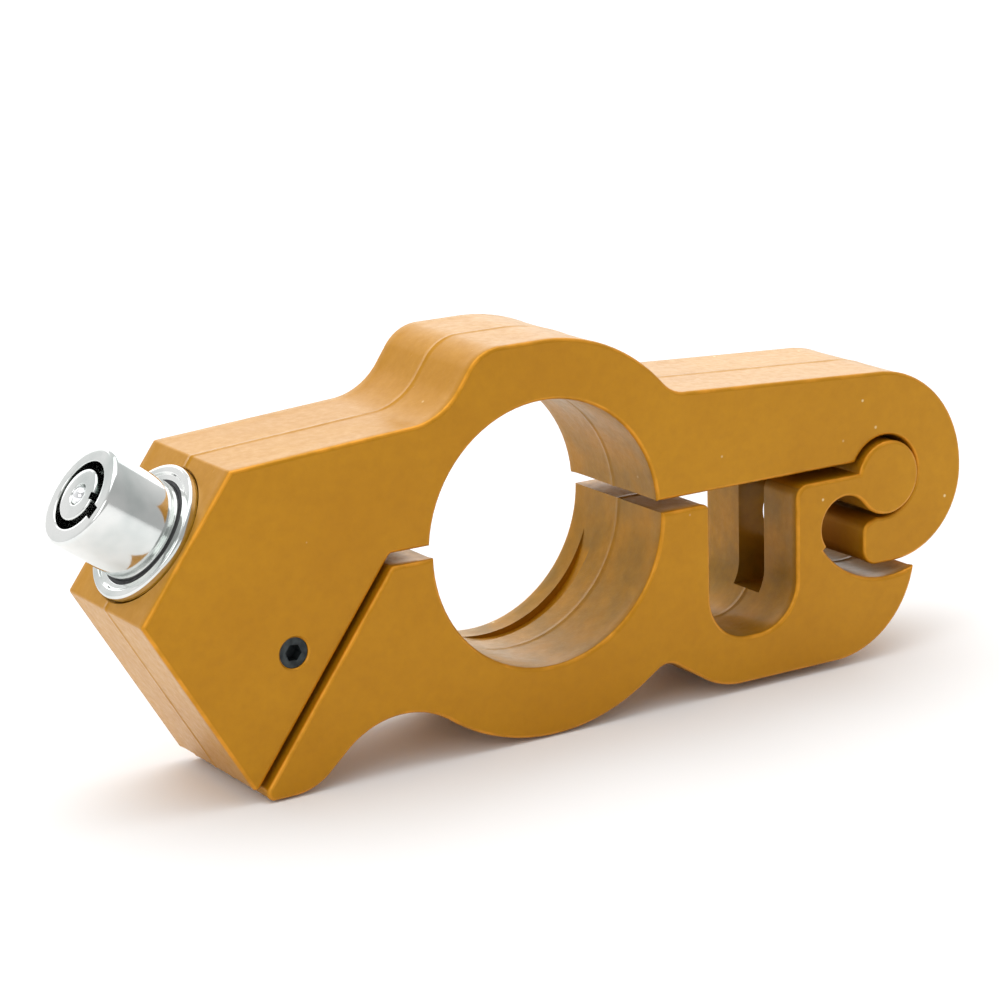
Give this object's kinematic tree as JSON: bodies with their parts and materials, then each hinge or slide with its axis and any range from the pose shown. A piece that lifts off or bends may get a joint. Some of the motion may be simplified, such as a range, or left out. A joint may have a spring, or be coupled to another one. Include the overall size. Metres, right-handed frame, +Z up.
{
  "type": "motorcycle grip and brake lever lock",
  "caption": "Hinged cast jaws that clamp a handlebar grip and trap the brake lever in a slot, held shut by a push-in lock barrel with a ring-shaped keyway.",
  "frame": {"origin": "centre of the grip bore, halfway through the upper jaw's thickness", "axes": "+X along the jaws towards the hinge, +Y along the grip bore away from the grub screw's face, +Z up from the lower jaw to the upper jaw"},
  "size_m": [0.1332, 0.022, 0.0523],
  "materials": {
    "gold_paint": "die-cast aluminium under glossy gold lacquer",
    "chrome": "bright chrome plate",
    "steel": "plain hardened steel",
    "black_steel": "black oxide",
    "brass": "turned brass",
    "seal_rubber": "black moulded rubber"
  },
  "bodies": {
    "upper_jaw": {"upper_jaw": "gold_paint", "keeper_pin": "steel", "grub_screw": "black_steel", "lock_sleeve": "chrome", "wiper_ring": "seal_rubber", "return_spring": "steel"},
    "lower_jaw": {"lower_jaw": "gold_paint"},
    "plunger": {"lock_barrel": "chrome", "lock_bolt": "steel", "pin_body": "brass", "body_pin": "steel", "driver_pins": "brass", "pin_springs": "steel"},
    "core": {"core": "chrome", "drill_ball": "steel", "key_pins": "steel"},
    "latch": {"latch_plate": "steel"}
  },
  "joints": [
    {"name": "jaw_hinge", "type": "hinge", "parent": "upper_jaw", "child": "lower_jaw", "pos_m": [0.0556, 0, -0.0013], "axis": [0, -1, 0], "range_deg": [0, 50]},
    {"name": "plunger_slide", "type": "slide", "parent": "upper_jaw", "child": "plunger", "axis": [0.8039, 0, -0.5948], "range_m": [0, 0.0085], "stiffness_N_per_m": 500, "springref_m": -0.006, "deforming": ["return_spring"]},
    {"name": "core_turn", "type": "hinge", "parent": "plunger", "child": "core", "pos_m": [-0.05135, 0, 0.00655], "axis": [-0.8039, 0, 0.5948], "range_deg": [0, 60]},
    {"name": "latch_slide", "type": "slide", "parent": "plunger", "child": "latch", "axis": [-0.5948, 0, -0.8039], "range_m": [0, 0.001]}
  ],
  "couplings": [
    {"joint": "core_turn", "follows": "latch_slide", "rad_per_m": 1047.2}
  ]
}
